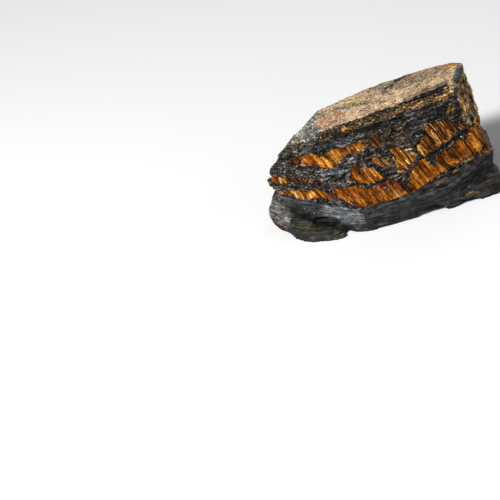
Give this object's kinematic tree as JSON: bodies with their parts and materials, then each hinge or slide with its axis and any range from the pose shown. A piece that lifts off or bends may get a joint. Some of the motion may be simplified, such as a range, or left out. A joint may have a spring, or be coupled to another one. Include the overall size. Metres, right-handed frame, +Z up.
{
  "type": "rough tiger iron",
  "caption": "Rough banded stone with dark granular beds, golden fibrous lenses, a sandy top face and a thicker dark slab below, lying on its flat base.",
  "frame": {"origin": "centre of the bounding box at the resting base", "axes": "+X along the length of the beds, +Y from the broken front to the back, +Z up across the beds"},
  "size_m": [0.0538, 0.0272, 0.0241],
  "materials": {
    "stone": "dark granular and smooth beds, silky golden fibres, sandy tan top"
  },
  "bodies": {
    "root": {"tiger_iron": "stone"}
  },
  "joints": []
}
